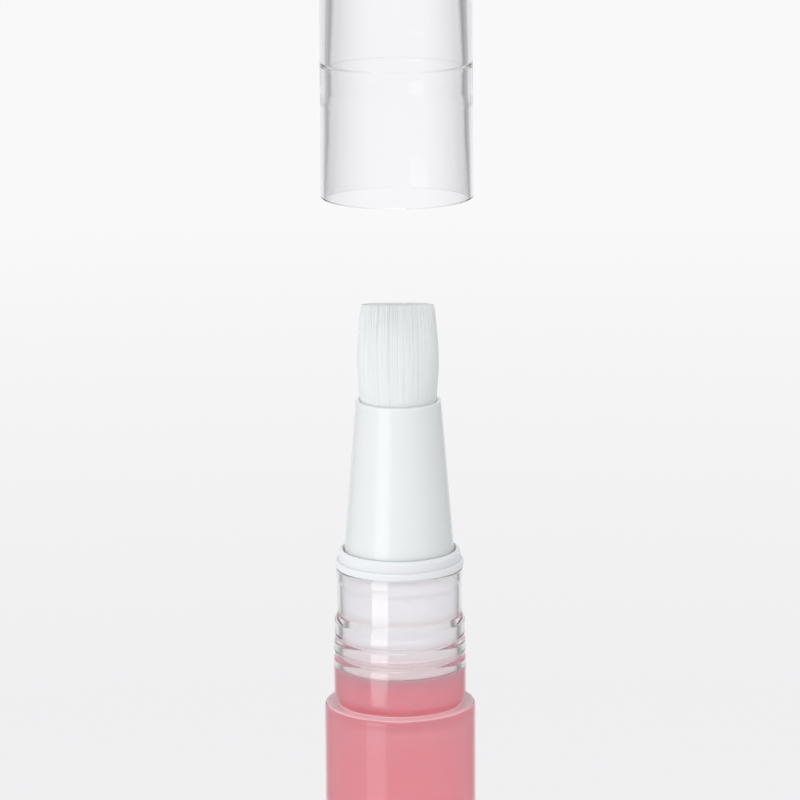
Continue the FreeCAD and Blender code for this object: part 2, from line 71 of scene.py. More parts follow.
# ---------------------------------------------------------------- camera
IMAGE_SIDE = 800.0                 # pixels each way
FOCAL_PIXELS = 4200.0
SENSOR = 36.0                      # mm
AIM_HEIGHT = 124.5 * MM            # the point of the axis on the picture's middle line
AIM_DISTANCE = 329.6 * MM
PITCH = math.radians(12.67)
ROLL = math.radians(0.35)
AXIS_COLUMN = 398.35               # where the axis crosses the picture's middle line
CLIP = (0.01, 20.0)                # nearest and farthest that the camera sees


def place_camera():
    data = bpy.data.cameras.new("camera")
    data.sensor_width = SENSOR
    data.sensor_fit = "HORIZONTAL"
    data.lens = SENSOR * FOCAL_PIXELS / IMAGE_SIDE
    data.clip_start, data.clip_end = CLIP
    camera = bpy.data.objects.new("camera", data)
    bpy.context.scene.collection.objects.link(camera)
    sideways = (IMAGE_SIDE / 2 - AXIS_COLUMN) * AIM_DISTANCE / FOCAL_PIXELS
    camera.location = (
        sideways,
        -AIM_DISTANCE * math.cos(PITCH),
        AIM_HEIGHT + AIM_DISTANCE * math.sin(PITCH),
    )
    tilt = Matrix.Rotation(math.pi / 2 - PITCH, 4, "X")
    roll = Matrix.Rotation(-ROLL, 4, "Z")
    camera.rotation_euler = (tilt @ roll).to_euler()
    bpy.context.scene.camera = camera


# ---------------------------------------------------------------- node trees
NODES_IN_A_ROW = 6
NODE_SPACE = (220, 260)


class Tree:
    """Short way to add and join nodes in one material, world or geometry tree."""

    def __init__(self, tree):
        self.tree = tree
        self.made = 0

    def add(self, kind, inputs=(), **settings):
        node = self.tree.nodes.new(kind)
        row, column = divmod(self.made, NODES_IN_A_ROW)
        node.location = (column * NODE_SPACE[0], -row * NODE_SPACE[1])
        self.made += 1
        for name, value in settings.items():
            setattr(node, name, value)
        for key, value in dict(inputs).items():
            if isinstance(value, bpy.types.NodeSocket):
                self.tree.links.new(value, node.inputs[key])
            else:
                node.inputs[key].default_value = value
        return node

    def link(self, source, target):
        self.tree.links.new(source, target)


def material(name):
    made = bpy.data.materials.new(name)
    made.use_nodes = True
    made.node_tree.nodes.clear()
    tree = Tree(made.node_tree)
    output = tree.add("ShaderNodeOutputMaterial")
    return made, tree, output


def principled(tree, output, **inputs):
    names = {key.replace("_", " "): value for key, value in inputs.items()}
    shader = tree.add("ShaderNodeBsdfPrincipled", names)
    tree.link(shader.outputs[0], output.inputs[0])


def srgb(red, green, blue):
    """Linear colour of an sRGB one given in 0 to 255."""
    def linear(value):
        value /= 255
        return value / 12.92 if value <= 0.04045 else ((value + 0.055) / 1.055) ** 2.4
    return (linear(red), linear(green), linear(blue), 1.0)


def grain(tree, scale, detail=2.0, stretch=(1, 1, 1)):
    """Noise on the piece's own coordinates."""
    place = tree.add("ShaderNodeTexCoord")
    turn = tree.add("ShaderNodeMapping", {"Vector": place.outputs["Object"], "Scale": stretch})
    return tree.add(
        "ShaderNodeTexNoise",
        {"Vector": turn.outputs[0], "Scale": scale, "Detail": detail, "Roughness": 0.5},
    )


NOISE_REACH = (0.35, 0.65)         # most of what the noise gives lies between these


def spread(tree, noise, low, high):
    """Noise brought to a range."""
    return tree.add("ShaderNodeMapRange", {
        "Value": noise.outputs["Fac"], "From Min": NOISE_REACH[0], "From Max": NOISE_REACH[1],
        "To Min": low, "To Max": high,
    }).outputs["Result"]


def bump(tree, noise, distance):
    return tree.add("ShaderNodeBump", {
        "Height": noise.outputs["Fac"], "Distance": distance, "Strength": 1.0,
    }).outputs["Normal"]


def least(tree, a, b):
    return tree.add("ShaderNodeMath", {0: a, 1: b}, operation="MINIMUM").outputs[0]


def most(tree, a, b):
    return tree.add("ShaderNodeMath", {0: a, 1: b}, operation="MAXIMUM").outputs[0]


def ramp(tree, factor, stops):
    """Grey along a factor, by (place, level) stops."""
    node = tree.add("ShaderNodeValToRGB", {"Fac": factor})
    elements = node.color_ramp.elements
    while len(elements) < len(stops):
        elements.new(0.5)
    for element, (place, level) in zip(elements, stops):
        element.position = place
        element.color = (level, level, level, 1)
    return node.outputs["Color"]


def mixed(tree, factor, low, high, blend="MIX"):
    """Colour between two, each a colour or a socket."""
    node = tree.add("ShaderNodeMix", data_type="RGBA", blend_type=blend)
    for name, value in (("Factor", factor), ("A", low), ("B", high)):
        kind = "VALUE" if name == "Factor" else "RGBA"
        socket = [i for i in node.inputs if i.name == name and i.type == kind][0]
        if isinstance(value, bpy.types.NodeSocket):
            tree.link(value, socket)
        else:
            socket.default_value = value
    return [o for o in node.outputs if o.type == "RGBA"][0]


CLEAR_IOR = 1.5
POLISH = (0.012, 0.035)            # roughness of the clear walls, least and most
WAVE_SCALE, WAVE_STRETCH, WAVE_HEIGHT = 90, (1, 1, 0.3), 0.006 * MM
HAZE_SCALE = 400
TONE_SCALE = 60                    # of the slow drift of tone in what fills or makes the barrel


def clear_plastic(name, colour, frosted_painted_glow=None, painted_edge_shade=None):
    """Polished clear moulding with the faint waviness and haze of its mould.

    A frosted face with painted glow is (low, high, roughness, clearness, colour), between two levels of
    the pen; its colour is painted light, the oil's pink carried inside the wall.
    Painted edge shade is how grey the wall's colour is painted towards its edges, standing in for the
    darker studio that the wall mirrors there.
    """
    made, tree, output = material(name)
    wave = grain(tree, WAVE_SCALE, 1.0, WAVE_STRETCH)
    haze = grain(tree, HAZE_SCALE, 3.0)
    rough = spread(tree, haze, *POLISH)
    tint = shaded(tree, colour, 0.01, TONE_SCALE)
    # painted shade: the wall's colour greys towards its edges, as the dark studio sides seen in its
    # gloss
    if painted_edge_shade:
        facing = tree.add("ShaderNodeLayerWeight", {"Blend": 0.5})
        tint = mixed(tree, 1.0, tint, ramp(tree, facing.outputs["Facing"], painted_edge_shade), "MULTIPLY")
    clear = 1.0
    # painted light: the face is rougher, less clear and painted pink, as the oil's light carried in the
    # wall
    if frosted_painted_glow:
        low, high, frost, clearness, painted_glow_colour = frosted_painted_glow
        soft = 2 * SEAM
        face = least(tree, height(tree, low - soft, low), height(tree, high + soft, high))
        frosting = tree.add("ShaderNodeMath", {0: face, 1: frost}, operation="MULTIPLY")
        rough = most(tree, rough, frosting.outputs[0])
        tint = mixed(tree, face, tint, painted_glow_colour)
        clear = tree.add("ShaderNodeMapRange", {
            "Value": face, "To Min": 1.0, "To Max": clearness,
        }).outputs["Result"]
    principled(
        tree, output,
        Base_Color=tint,
        Roughness=rough,
        IOR=CLEAR_IOR,
        Transmission_Weight=clear,
        Normal=bump(tree, wave, WAVE_HEIGHT),
    )
    return made


def shaded(tree, colour, amount, scale):
    """Colour with a slow drift of tone over the moulding."""
    tone = grain(tree, scale, 2.0)
    darker = tuple(c * (1 - amount) for c in colour[:3]) + (1,)
    return mixed(tree, spread(tree, tone, 0.0, 1.0), darker, colour)


EGGSHELL_SCALE, EGGSHELL_HEIGHT = 700, 0.004 * MM


def moulded(name, colour, rough, glow_through=0.0):
    """Opaque moulded plastic with a fine eggshell surface; some of it lets light drift inside."""
    made, tree, output = material(name)
    skin = grain(tree, EGGSHELL_SCALE, 4.0)
    principled(
        tree, output,
        Base_Color=shaded(tree, colour, 0.015, 2 * TONE_SCALE),
        Roughness=spread(tree, skin, rough * 0.9, rough * 1.1),
        Subsurface_Weight=glow_through,
        Subsurface_Radius=(1, 1, 1),
        Subsurface_Scale=1.0 * MM,
        Normal=bump(tree, skin, EGGSHELL_HEIGHT),
    )
    return made


def height(tree, low, high):
    """0 at one level of the pen and 1 at another, in mm."""
    place = tree.add("ShaderNodeTexCoord")
    split = tree.add("ShaderNodeSeparateXYZ", {"Vector": place.outputs["Object"]})
    return tree.add("ShaderNodeMapRange", {
        "Value": split.outputs["Z"], "From Min": low * MM, "From Max": high * MM,
    }).outputs["Result"]


# One plastic in two levels: the plug inside the clear neck is painted lighter than the flange outside
# it, making up for the light the neck wall takes from the plug.
PLUG_WHITE_PAINTED_LIGHTER = srgb(242, 241, 245)
SKIRT_PAINTED_OIL_LIGHT = srgb(240, 225, 229)
FLANGE_WHITE_PAINTED_DARKER = srgb(220, 222, 225)
SKIRT_TOP, SKIRT_LOW = PLUG_LOW + 2.9, PLUG_LOW + 1.1   # between these the oil's light is painted on the skirt's colour


def natural_collar():
    """Translucent natural plastic; the oil's pink behind its thin skirt is painted onto the skirt as
    light coming through it.
    """
    made, tree, output = material("natural_collar")
    skin = grain(tree, 500, 3.0)
    plug = shaded(tree, PLUG_WHITE_PAINTED_LIGHTER, 0.01, 150)
    # painted light: the oil's pink coming through the skirt, painted by height
    skirt_painted_oil = mixed(tree, height(tree, SKIRT_TOP, SKIRT_LOW), plug, SKIRT_PAINTED_OIL_LIGHT)
    # painted light: the flange above the neck gets the darker level of the same plastic
    tinted = mixed(tree, height(tree, NECK_TOP - 0.2, NECK_TOP), skirt_painted_oil, FLANGE_WHITE_PAINTED_DARKER)
    principled(
        tree, output,
        Base_Color=tinted,
        Roughness=spread(tree, skin, 0.35, 0.45),
        IOR=1.49,
        Specular_IOR_Level=0.0,
        Subsurface_Weight=0.3,
        Subsurface_Radius=(1, 1, 1),
        Subsurface_Scale=0.5 * MM,
        Normal=bump(tree, skin, 0.0015 * MM),
    )
    return made


def milky_liquid(name, colour):
    """Cloudy liquid that fills a clear wall: no gloss of its own, and light drifts inside it."""
    made, tree, output = material(name)
    principled(
        tree, output,
        Base_Color=shaded(tree, colour, 0.02, TONE_SCALE),
        Roughness=0.5,
        IOR=1.47,
        Specular_IOR_Level=0.0,
        Subsurface_Weight=1.0,
        Subsurface_Radius=(1, 0.6, 0.6),
        Subsurface_Scale=2.0 * MM,
    )
    return made


def dress(node, made):
    """CAD node with its material."""
    data = nodes[node].data
    data.materials.clear()
    data.materials.append(made)


# ---------------------------------------------------------------- turned pieces
ROUND_SHARE = 0.45                 # most of a short side that one corner's round may take
STEPS = 160                        # round a turned piece
FINE_STEPS = 192                   # round a clear one
SHARP = math.radians(40)
ON_AXIS = 1e-6                     # a smaller radius is a point of the axis


def rounded(corners, round_steps=6):
    """Outline through (radius, height) corners in mm; a third figure in a corner rounds it."""
    points = [Vector((c[0], c[1])) for c in corners]
    outline = []
    for i, corner in enumerate(corners):
        here = points[i]
        if len(corner) < 3:
            outline.append(here)
            continue
        back = points[i - 1] - here
        ahead = points[(i + 1) % len(points)] - here
        room = ROUND_SHARE * min(back.length, ahead.length)
        back.normalize()
        ahead.normalize()
        half = back.angle(ahead) / 2
        setback = min(corner[2] / math.tan(half), room)
        radius = setback * math.tan(half)
        inward = (back + ahead).normalized()
        centre = here + inward * (radius / math.sin(half))
        start = here + back * setback - centre
        end = here + ahead * setback - centre
        sweep = math.atan2(start.x * end.y - start.y * end.x, start.dot(end))
        for k in range(round_steps + 1):
            turn = sweep * k / round_steps
            outline.append(centre + Vector((
                start.x * math.cos(turn) - start.y * math.sin(turn),
                start.x * math.sin(turn) + start.y * math.cos(turn),
            )))
    return outline


def braced(outline, reach=0.06, long_side=0.48):
    """Outline with a point added close to both ends of its long sides, so that these shade flat."""
    points = []
    for i, here in enumerate(outline):
        ahead = outline[(i + 1) % len(outline)] - here
        points.append(here)
        if ahead.length > long_side:
            step = ahead.normalized() * reach
            points += [here + step, here + ahead - step]
    return points


def turned(name, corners, steps=STEPS):
    """Closed mesh turned about the pen's axis from a closed outline in mm."""
    outline = braced(rounded(corners))
    verts, faces, rings = [], [], []
    for point in outline:
        if point.x < ON_AXIS:
            rings.append([len(verts)])
            verts.append((0, 0, point.y * MM))
            continue
        rings.append(list(range(len(verts), len(verts) + steps)))
        for i in range(steps):
            turn = 2 * math.pi * i / steps
            verts.append((point.x * MM * math.cos(turn), point.x * MM * math.sin(turn), point.y * MM))
    for k, ring in enumerate(rings):
        ahead = rings[(k + 1) % len(rings)]
        if len(ring) == 1 and len(ahead) == 1:
            continue
        for i in range(steps):
            j = (i + 1) % steps
            if len(ring) == 1:
                faces.append((ring[0], ahead[j], ahead[i]))
            elif len(ahead) == 1:
                faces.append((ring[i], ring[j], ahead[0]))
            else:
                faces.append((ring[i], ring[j], ahead[j], ahead[i]))
    mesh = bpy.data.meshes.new(name)
    mesh.from_pydata(verts, [], faces)
    mesh.validate()
    mesh.shade_smooth()
    mesh.set_sharp_from_angle(angle=SHARP)
    made = bpy.data.objects.new(name, mesh)
    bpy.context.scene.collection.objects.link(made)
    return made


CAP_MOUTH_RADIUS = 5.95
CAP_DRAFT = 0.133                  # the cap narrows by this from mouth to end
CAP_END = 1.6                      # thickness of its closed end


def make_cap():
    """Clear cap, mouth down, with its inner ring and snap bands, turned finer than its solid."""
    outside = [
        (5.54, CAP_RIM, 0.12),
        (CAP_MOUTH_RADIUS, CAP_RIM, 0.12),
        (CAP_MOUTH_RADIUS - CAP_DRAFT, CAP_TOP, 0.7),
        (0, CAP_TOP),
    ]
    inside = [
        # radius, height over the rim, round
        (4.93, 15.7, 6.0),
        (5.165, 10.5, 0.6),
        (5.115, 10.3, 0.2),
        (5.165, 10.1, 0.6),
        (5.14, 8.2, 0.8),
        (5.27, 7.2, 1.2),
        (5.32, 4.5, 4.0),
    ]
    end = [(0, CAP_TOP - CAP_END), (4.78, CAP_TOP - CAP_END, 0.7)]
    bore = [(radius, CAP_RIM + level, turn) for radius, level, turn in inside]
    cap = turned("cap_clear", outside + end + bore, FINE_STEPS)
    cap.data.materials.append(clear_cap)
    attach(cap, "cap_body")
    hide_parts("cap")
    return cap


BEAD_ROUND = 0.3
LIP_RADIUS = 5.02


def make_barrel():
    """Clear barrel with the beads of its neck, turned finer than its solid."""
    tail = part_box("barrel")[0].z / MM
    beads = [
        # radius, height over the shoulder
        (5.24, 0.85),
        (5.24, 3.75),
        (NECK_RADIUS, 3.97),
        (5.22, 4.19),
        (5.22, 5.19),
        (NECK_RADIUS, 5.39),
        (5.16, 5.59),
        (5.16, 6.79),
        (NECK_RADIUS, 7.39),
    ]
    outline = [
        (BORE_RADIUS, tail),
        (BARREL_RADIUS, tail, 0.12),
        (BARREL_RADIUS, SHOULDER, 0.35),
        (NECK_RADIUS, SHOULDER, 0.1),
    ]
    outline += [(radius, SHOULDER + level, BEAD_ROUND) for radius, level in beads]
    outline += [
        (NECK_RADIUS, NECK_TOP - 1.1),
        (LIP_RADIUS, NECK_TOP - 0.8),
        (LIP_RADIUS, NECK_TOP, 0.12),
        (BORE_RADIUS, NECK_TOP),
    ]
    barrel = turned("barrel_clear", outline, FINE_STEPS)
    barrel.data.materials.append(clear_barrel)
    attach(barrel, "pen_body")
    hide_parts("barrel")


def make_oil():
    """Milky oil, wetting the wall of the tank and the hollow of the plug."""
    low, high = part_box("oil")
    hollow = CUP_RADIUS - 2 * SEAM
    creep = PLUG_LOW + 0.07        # it climbs a hair round the plug's edge
    oil = turned("oil_fill", [
        (0, low.z / MM),
        (WET_BORE, low.z / MM),
        (WET_BORE, creep),
        (4.48, creep),
        (4.3, PLUG_LOW - SEAM),
        (hollow, PLUG_LOW - SEAM),
        (hollow, high.z / MM),
        (0, high.z / MM),
    ])
    oil.data.materials.append(milky_liquid("pink_oil", srgb(245, 177, 187)))
    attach(oil, "pen_body")
    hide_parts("oil")
    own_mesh(oil)


# ---------------------------------------------------------------- brush
FILAMENTS = 2400
GOLDEN_TURN = math.pi * (3 - math.sqrt(5))
CURVE_ROOM = 4                     # widths in mm are stored in the tree's curves as shares of this
CORNER_FROM = 0.86                 # past this share of the half width the cut falls off
CORNER_SLOPE = 2.2 * MM
BUNDLE = [
    # height over the mouth, half width, half thickness, in mm
    (-0.6, 2.93, 2.93),
    (0.0, 2.93, 2.93),
    (1.2, 3.05, 2.88),
    (3.3, 3.16, 2.38),
    (5.6, 3.03, 1.43),
    (7.6, 2.83, 0.58),
]


def filament_tree():
    """Filaments set round the bundle by the golden angle, two thirds on its skin and the rest inside.

    Each follows the bundle's width and thickness.
    """
    group = bpy.data.node_groups.new("brush_filaments", "GeometryNodeTree")
    face = group.interface
    face.new_socket("Geometry", in_out="OUTPUT", socket_type="NodeSocketGeometry")
    sizes = {
        "Count": ("NodeSocketInt", FILAMENTS),
        "Root Level": ("NodeSocketFloat", (MOUTH + BUNDLE[0][0]) * MM),
        "Length": ("NodeSocketFloat", (BUNDLE[-1][0] - BUNDLE[0][0]) * MM),
        "Root Radius": ("NodeSocketFloat", 0.036 * MM),
        "Tip Radius": ("NodeSocketFloat", 0.032 * MM),
        "Fullness": ("NodeSocketFloat", 0.5),
        "Skin": ("NodeSocketFloat", 0.012),
        "Scatter": ("NodeSocketFloat", 0.015 * MM),
        "Stray": ("NodeSocketFloat", 0.025 * MM),
        "Uneven Cut": ("NodeSocketFloat", 0.03 * MM),
        "Seed": ("NodeSocketInt", 7),
    }
    for name, (kind, value) in sizes.items():
        face.new_socket(name, in_out="INPUT", socket_type=kind).default_value = value
    face.new_socket("Material", in_out="INPUT", socket_type="NodeSocketMaterial")
    tree = Tree(group)
    given = tree.add("NodeGroupInput")
    asked = tree.add("NodeGroupOutput")

    def math_node(operation, a, b=0.0, c=0.0):
        return tree.add("ShaderNodeMath", {0: a, 1: b, 2: c}, operation=operation).outputs[0]

    index = tree.add("GeometryNodeInputIndex").outputs[0]
    share = math_node("DIVIDE", math_node("ADD", index, 0.5), given.outputs["Count"])
    inner = math_node("LESS_THAN", math_node("MODULO", index, 3.0), 0.5)
    spreading = math_node("MULTIPLY_ADD", inner, given.outputs["Fullness"], given.outputs["Skin"])
    reach = math_node("POWER", share, spreading)
    turn = math_node("MULTIPLY", index, GOLDEN_TURN)
    across = tree.add("ShaderNodeCombineXYZ", {
        "X": math_node("MULTIPLY", reach, math_node("COSINE", turn)),
        "Y": math_node("MULTIPLY", reach, math_node("SINE", turn)),
    }).outputs[0]
    points = tree.add("GeometryNodePoints", {"Count": given.outputs["Count"]})
    spot = tree.add("GeometryNodeStoreNamedAttribute", {
        "Geometry": points.outputs[0], "Name": "spot", "Value": across,
    }, data_type="FLOAT_VECTOR", domain="POINT")
    chance = tree.add("FunctionNodeRandomValue", {
        "Min": (-1, -1, -1), "Max": (1, 1, 1), "Seed": given.outputs["Seed"],
    }, data_type="FLOAT_VECTOR")
    luck = tree.add("GeometryNodeStoreNamedAttribute", {
        "Geometry": spot.outputs[0], "Name": "luck", "Value": chance.outputs[0],
    }, data_type="FLOAT_VECTOR", domain="POINT")
    line = tree.add("GeometryNodeCurvePrimitiveLine", {"End": (0, 0, 1)})
    line = tree.add("GeometryNodeResampleCurve", {"Curve": line.outputs[0], "Count": 6})
    grown = tree.add("GeometryNodeInstanceOnPoints", {
        "Points": luck.outputs[0], "Instance": line.outputs[0],
    })
    grown = tree.add("GeometryNodeRealizeInstances", {"Geometry": grown.outputs[0]})

    along = tree.add("GeometryNodeSplineParameter").outputs["Factor"]

    def kept(name):
        """Parts of a vector kept on the points."""
        vector = tree.add("GeometryNodeInputNamedAttribute", {"Name": name}, data_type="FLOAT_VECTOR")
        return tree.add("ShaderNodeSeparateXYZ", {"Vector": vector.outputs[0]})

    spot, luck = kept("spot"), kept("luck")

    def profile(column):
        """The bundle's half width or half thickness along it."""
        node = tree.add("ShaderNodeFloatCurve", {"Value": along})
        curve = node.mapping.curves[0]
        low, high = BUNDLE[0][0], BUNDLE[-1][0]
        places = [((row[0] - low) / (high - low), row[column] / CURVE_ROOM) for row in BUNDLE]
        while len(curve.points) < len(places):
            curve.points.new(0.5, 0.5)
        for point, place in zip(curve.points, places):
            point.location = place
        node.mapping.update()
        return math_node("MULTIPLY", node.outputs[0], CURVE_ROOM * MM)

    stray = math_node("MULTIPLY", math_node("POWER", along, 2.0), given.outputs["Stray"])
    sway = math_node("ADD", given.outputs["Scatter"], stray)
    x = math_node("ADD", math_node("MULTIPLY", spot.outputs["X"], profile(1)),
                  math_node("MULTIPLY", luck.outputs["X"], sway))
    y = math_node("ADD", math_node("MULTIPLY", spot.outputs["Y"], profile(2)),
                  math_node("MULTIPLY", luck.outputs["Y"], sway))
    past = math_node("MAXIMUM", math_node("SUBTRACT", spot.outputs["X"], CORNER_FROM), 0.0)
    corner = math_node("MULTIPLY", past, CORNER_SLOPE)
    cut = math_node("MULTIPLY", luck.outputs["Z"], given.outputs["Uneven Cut"])
    length = math_node("SUBTRACT", math_node("ADD", given.outputs["Length"], cut), corner)
    z = math_node("MULTIPLY_ADD", along, length, given.outputs["Root Level"])
    place = tree.add("ShaderNodeCombineXYZ", {"X": x, "Y": y, "Z": z})
    bent = tree.add("GeometryNodeSetPosition", {
        "Geometry": grown.outputs[0], "Position": place.outputs[0],
    })
    thick = tree.add("ShaderNodeMapRange", {
        "Value": along, "To Min": given.outputs["Root Radius"], "To Max": given.outputs["Tip Radius"],
    })
    bent = tree.add("GeometryNodeSetCurveRadius", {
        "Curve": bent.outputs[0], "Radius": thick.outputs["Result"],
    })
    ring = tree.add("GeometryNodeCurvePrimitiveCircle", {"Resolution": 5, "Radius": 1.0})
    inputs = {"Curve": bent.outputs[0], "Profile Curve": ring.outputs[0], "Fill Caps": True}
    threads = tree.add("GeometryNodeCurveToMesh", inputs)
    if "Scale" in threads.inputs:
        radius = tree.add("GeometryNodeInputRadius")
        tree.link(radius.outputs[0], threads.inputs["Scale"])
    soft = tree.add("GeometryNodeSetShadeSmooth", {"Geometry": threads.outputs[0]})
    whole = tree.add("GeometryNodeRealizeInstances", {"Geometry": soft.outputs[0]})
    painted = tree.add("GeometryNodeSetMaterial", {
        "Geometry": whole.outputs[0], "Material": given.outputs["Material"],
    })
    tree.link(painted.outputs[0], asked.inputs[0])
    return group


def from_tree(name, group, **inputs):
    """Plain mesh made by a geometry tree, with some of its inputs set."""
    maker = bpy.data.objects.new(name + "_maker", bpy.data.meshes.new(name + "_maker"))
    bpy.context.scene.collection.objects.link(maker)
    modifier = maker.modifiers.new("make", "NODES")
    modifier.node_group = group
    for item in group.interface.items_tree:
        if item.in_out == "INPUT" and item.name in inputs:
            modifier[item.identifier] = inputs[item.name]
    graph = bpy.context.evaluated_depsgraph_get()
    mesh = bpy.data.meshes.new_from_object(maker.evaluated_get(graph))
    mesh.name = name
    bpy.data.objects.remove(maker)
    made = bpy.data.objects.new(name, mesh)
    bpy.context.scene.collection.objects.link(made)
    return made


def make_bristles():
    """Filaments over the brush's solid, all in one white nylon whose colour is painted a little darker
    towards the tips as shade.
    """
    made, tree, output = material("bristle_white")
    tip_painted_shade = height(tree, MOUTH + 5.45, MOUTH + 7.65)
    # painted shade: a little darker towards the filaments' cut tips
    colour = mixed(tree, tip_painted_shade, srgb(223, 226, 227), srgb(220, 223, 224))
    principled(tree, output, Base_Color=colour, Roughness=0.6, Specular_IOR_Level=0.25)
    dress("bristles", made)
    brush = from_tree("brush_filaments", filament_tree(), Material=made)
    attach(brush, "pen_body")


# ---------------------------------------------------------------- studio
PALE_FAR = srgb(248, 247, 250)     # the backdrop
PALE_CLOSE = srgb(228, 228, 228)   # the floor just round the pen, as gloss shows it
PALE_REACH = (0.35, 0.8)           # between these distances from the pen one turns into the other
GLOW_NEAR = srgb(241, 240, 242)    # what the floor shows the camera, near the pen and far from it
GLOW_FAR = (1.0, 0.99, 1.0, 1)
GLOW_REACH = (0.34, 0.78)
GLOW_SHARE = 0.8                   # the rest of its look is the floor's own matte, with the shadow
MATTE = (0.9, 0.9, 0.9, 1)
AIR = 0.83                         # level of the light from all round
FLOOR_CORNERS = [(-3, -4, 0), (3, -4, 0), (3, 4, 0), (-3, 4, 0)]
STRIP_AT = 37                      # degrees to the camera's left
STRIP_WIDTH = 31                   # degrees, seen from the pen
STRIP_LOOK = 1.9                   # brightness, where the pale backdrop is a little under 1
STRIP_DISTANCE = 0.33
STRIP_MIDDLE = 0.152               # height of its middle over the floor
STRIP_HEIGHT = 0.3
STRIP_END = (0.55, 0.65)           # its reflection is painted on the floor out to these distances
TOP_AT = 5
TOP_PLACE = (0.4, 0.8)
TOP_SIDE = 0.34
TOP_LOOK = 3.4
# how bright the studio looks in the pen's gloss and through its clear walls, against the pale sheet
# behind it: degrees from straight behind, past its left, the camera (180) and its right
ROOM = [
    (0, 1.0), (26, 1.0), (32, 0.62), (47, 0.42), (62, 0.6), (98, 0.74), (118, 0.88), (138, 1.0),
    (222, 1.0), (242, 0.84), (262, 0.7), (298, 0.56), (313, 0.36), (328, 0.56), (334, 1.0), (360, 1.0),
]


def around(tree, vector):
    """Share of a turn round the pen, from straight behind it past its left."""
    split = tree.add("ShaderNodeSeparateXYZ", {"Vector": vector})
    back = tree.add("ShaderNodeMath", {0: split.outputs["Y"], 1: -1.0}, operation="MULTIPLY")
    angle = tree.add("ShaderNodeMath", {0: split.outputs["X"], 1: back.outputs[0]}, operation="ARCTAN2")
    return tree.add("ShaderNodeMapRange", {
        "Value": angle.outputs[0], "From Min": -math.pi, "From Max": math.pi,
    }).outputs["Result"]


def room_look(tree, vector, sheet):
    """Colour of the studio in a direction from the pen."""
    level = ramp(tree, around(tree, vector), [(degrees / 360, look) for degrees, look in ROOM])
    return mixed(tree, 1.0, level, sheet, "MULTIPLY")


def seen_rays(tree):
    """1 for rays that show the studio to the camera or in gloss and clear walls, 0 for its light."""
    path = tree.add("ShaderNodeLightPath")
    mirrored = most(tree, path.outputs["Is Glossy Ray"], path.outputs["Is Transmission Ray"])
    seen = most(tree, path.outputs["Is Camera Ray"], mirrored)
    lighting = least(tree, path.outputs["Diffuse Depth"], 1.0)
    direct = tree.add("ShaderNodeMath", {0: seen, 1: lighting}, operation="SUBTRACT")
    return most(tree, direct.outputs[0], 0.0), path.outputs["Is Camera Ray"]


def surround():
    """World: pale to the camera, the room in gloss and clear walls, and even light for all else."""
    world = bpy.data.worlds.new("studio_air")
    bpy.context.scene.world = world
    world.use_nodes = True
    world.node_tree.nodes.clear()
    tree = Tree(world.node_tree)
    output = tree.add("ShaderNodeOutputWorld")
    place = tree.add("ShaderNodeTexCoord")
    seen, camera = seen_rays(tree)
    room = room_look(tree, place.outputs["Generated"], PALE_FAR)
    look = tree.add("ShaderNodeBackground", {"Color": mixed(tree, camera, room, PALE_FAR)})
    air = tree.add("ShaderNodeBackground", {"Color": (AIR, AIR, AIR, 1)})
    mix = tree.add("ShaderNodeMixShader", {0: seen, 1: air.outputs[0], 2: look.outputs[0]})
    tree.link(mix.outputs[0], output.inputs[0])


def between(tree, value, reach, start=0.0, end=1.0):
    """From one level to another over a reach of distances."""
    return tree.add("ShaderNodeMapRange", {
        "Value": value, "From Min": reach[0], "From Max": reach[1], "To Min": start, "To Max": end,
    }).outputs["Result"]


def painted_strip_reflection(tree, place, off):
    """1 where the reflection of the strip lamp that stands on the floor is painted on it."""
    middle, half, soft = 180 - STRIP_AT, STRIP_WIDTH / 2, 0.5
    low, high = middle - half, middle + half
    stops = [
        (0, 0.0), (low - soft, 0.0), (low + soft, 1.0),
        (high - soft, 1.0), (high + soft, 0.0), (360, 0.0),
    ]
    band = ramp(tree, around(tree, place), [(degrees / 360, level) for degrees, level in stops])
    near = between(tree, off, STRIP_END, 1.0, 0.0)
    return tree.add("ShaderNodeMath", {0: band, 1: near}, operation="MULTIPLY").outputs[0]


def pale_floor():
    """Plain floor whose own matte takes the pen's shadow; the rest of its look glows, and to gloss and
    clear walls it shows the studio's levels and a painted reflection of the strip lamp.
    """
    mesh = bpy.data.meshes.new("floor")
    mesh.from_pydata(FLOOR_CORNERS, [], [(0, 1, 2, 3)])
    floor = bpy.data.objects.new("floor", mesh)
    bpy.context.scene.collection.objects.link(floor)
    made, tree, output = material("pale_floor")
    place = tree.add("ShaderNodeTexCoord").outputs["Object"]
    off = tree.add("ShaderNodeVectorMath", {0: place}, operation="LENGTH").outputs["Value"]
    glowing = mixed(tree, between(tree, off, GLOW_REACH), GLOW_NEAR, GLOW_FAR)
    seen, camera = seen_rays(tree)
    sheet = mixed(tree, between(tree, off, PALE_REACH), PALE_CLOSE, PALE_FAR)
    mirrored = room_look(tree, place, sheet)
    strip = (STRIP_LOOK, STRIP_LOOK, STRIP_LOOK, 1)
    # painted reflection: the strip lamp's band on the floor, for gloss and clear walls
    mirrored = mixed(tree, painted_strip_reflection(tree, place, off), mirrored, strip)
    shown = mixed(tree, camera, mirrored, glowing)
    share = between(tree, camera, (0.0, 1.0), 1.0, GLOW_SHARE)
    part = tree.add("ShaderNodeMath", {0: seen, 1: share}, operation="MULTIPLY")
    matte = tree.add("ShaderNodeBsdfDiffuse", {"Color": MATTE})
    glow = tree.add("ShaderNodeEmission", {"Color": shown, "Strength": 1.0})
    mix = tree.add("ShaderNodeMixShader", {0: part.outputs[0], 1: matte.outputs[0], 2: glow.outputs[0]})
    tree.link(mix.outputs[0], output.inputs[0])
    mesh.materials.append(made)


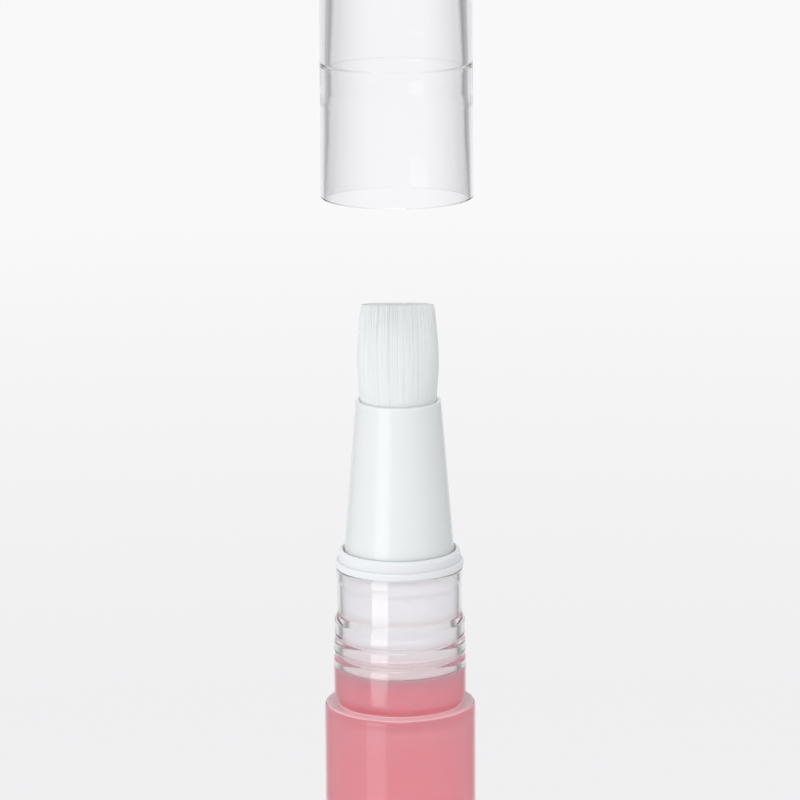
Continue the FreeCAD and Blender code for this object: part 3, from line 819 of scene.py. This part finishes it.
def softbox(name, azimuth, place, aim, size, brightness):
    """Area lamp; azimuth 0 is the camera's side, positive to its left; place is (distance, height)."""
    data = bpy.data.lights.new(name, "AREA")
    data.shape = "RECTANGLE"
    data.size, data.size_y = size
    data.energy = brightness * math.pi * data.size * data.size_y
    lamp = bpy.data.objects.new(name, data)
    bpy.context.scene.collection.objects.link(lamp)
    turn = math.radians(azimuth)
    lamp.location = (-math.sin(turn) * place[0], -math.cos(turn) * place[0], place[1])
    lamp.rotation_euler = (Vector((0, 0, aim)) - lamp.location).to_track_quat("-Z", "Y").to_euler()
    return lamp


def keep_off(lamp, piece):
    """Lamp that shines on all but one piece, and not through clear walls."""
    left_out = bpy.data.collections.new(lamp.name + "_keeps_off")
    left_out.objects.link(piece)
    lamp.light_linking.receiver_collection = left_out
    left_out.collection_objects[0].light_linking.link_state = "EXCLUDE"
    lamp.visible_transmission = False


# ---------------------------------------------------------------- the scene
place_camera()
surround()
pale_floor()
strip_width = 2 * STRIP_DISTANCE * math.tan(math.radians(STRIP_WIDTH / 2))
strip_place = (STRIP_DISTANCE, STRIP_MIDDLE)
strip = softbox("strip", STRIP_AT, strip_place, STRIP_MIDDLE, (strip_width, STRIP_HEIGHT), STRIP_LOOK)
softbox("top", TOP_AT, TOP_PLACE, AIM_HEIGHT, (TOP_SIDE, TOP_SIDE), TOP_LOOK)

# the cap's colour is painted grey towards its edges as shade
clear_cap = clear_plastic("clear_cap", (0.995, 0.997, 0.998, 1), painted_edge_shade=[
    # share from face on to edge on, level of the painted shade
    (0.0, 1.0), (0.1, 0.995), (0.2, 0.965), (0.35, 0.91), (0.52, 0.865), (0.74, 0.81), (1.0, 0.74),
])
# painted light on the barrel's shoulder face: pink, as the oil's light carried in the wall
shoulder_painted_glow = (SHOULDER - 0.07, SHOULDER + 0.06, 0.35, 0.4, srgb(240, 205, 210))
clear_barrel = clear_plastic("clear_barrel", (0.995, 0.99, 0.992, 1), frosted_painted_glow=shoulder_painted_glow)
keep_off(strip, make_cap())
make_barrel()
make_oil()
make_bristles()

inner_white = moulded("inner_white", srgb(236, 236, 234), 0.4)
knob_white = moulded("knob_white", srgb(240, 240, 240), 0.25)
dress("neck_plug", natural_collar())
dress("brush_nozzle", moulded("white_nozzle", srgb(219, 223, 224), 0.22, 0.2))
dress("feed_tube", moulded("natural_tube", srgb(236, 238, 238), 0.3, 0.5))
dress("piston_seal", moulded("piston_rubber", srgb(238, 238, 235), 0.5))
dress("tail_insert", moulded("insert_white", srgb(240, 240, 240), 0.3))
for node in ("knob_shell", "end_plug"):
    dress(node, knob_white)
for node in ("brush_bush", "tube_holder", "piston_core", "screw_rod", "thread_nut", "ratchet_ring",
             "snap_ring", "drive_tube", "knob_core"):
    dress(node, inner_white)

scene = bpy.context.scene
scene.view_settings.view_transform = "Standard"
scene.cycles.blur_glossy = 0.0     # clear walls pass all the light that falls on the oil and the plug
scene.cycles.glossy_bounces = 12   # and carry it along inside them
